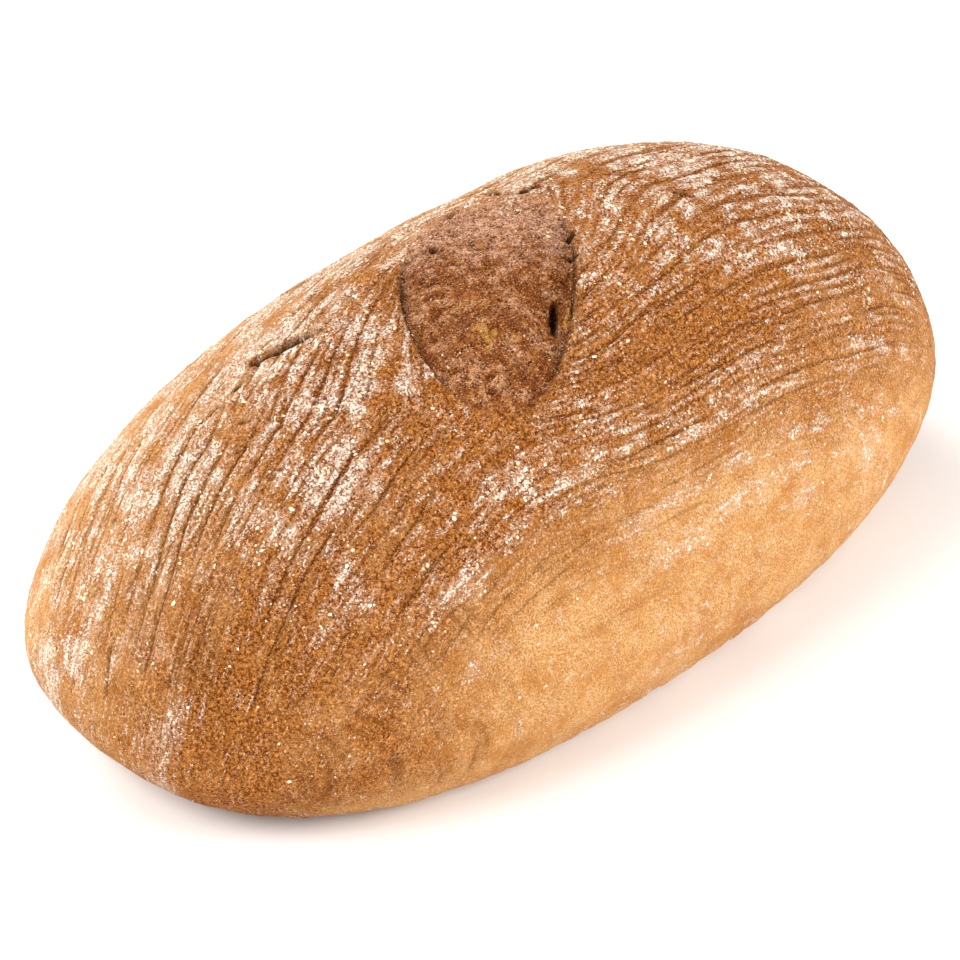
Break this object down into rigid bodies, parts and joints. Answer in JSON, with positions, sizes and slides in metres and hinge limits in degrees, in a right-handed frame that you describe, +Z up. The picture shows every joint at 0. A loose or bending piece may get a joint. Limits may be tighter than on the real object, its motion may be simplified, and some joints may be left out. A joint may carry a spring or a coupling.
{
  "type": "sourdough loaf",
  "caption": "Long oval sourdough loaf with a flat base, a high crown and a lens-shaped slash opened diagonally across the top.",
  "frame": {"origin": "middle of the base's footprint, at the surface that the loaf rests on", "axes": "+X along the loaf towards its slimmer, taller end; +Y across the loaf; +Z up, out of the crown"},
  "size_m": [0.3, 0.1594, 0.1128],
  "materials": {
    "crust": "matt baked crust, dusted with flour"
  },
  "bodies": {
    "root": {"loaf": "crust"}
  },
  "joints": []
}
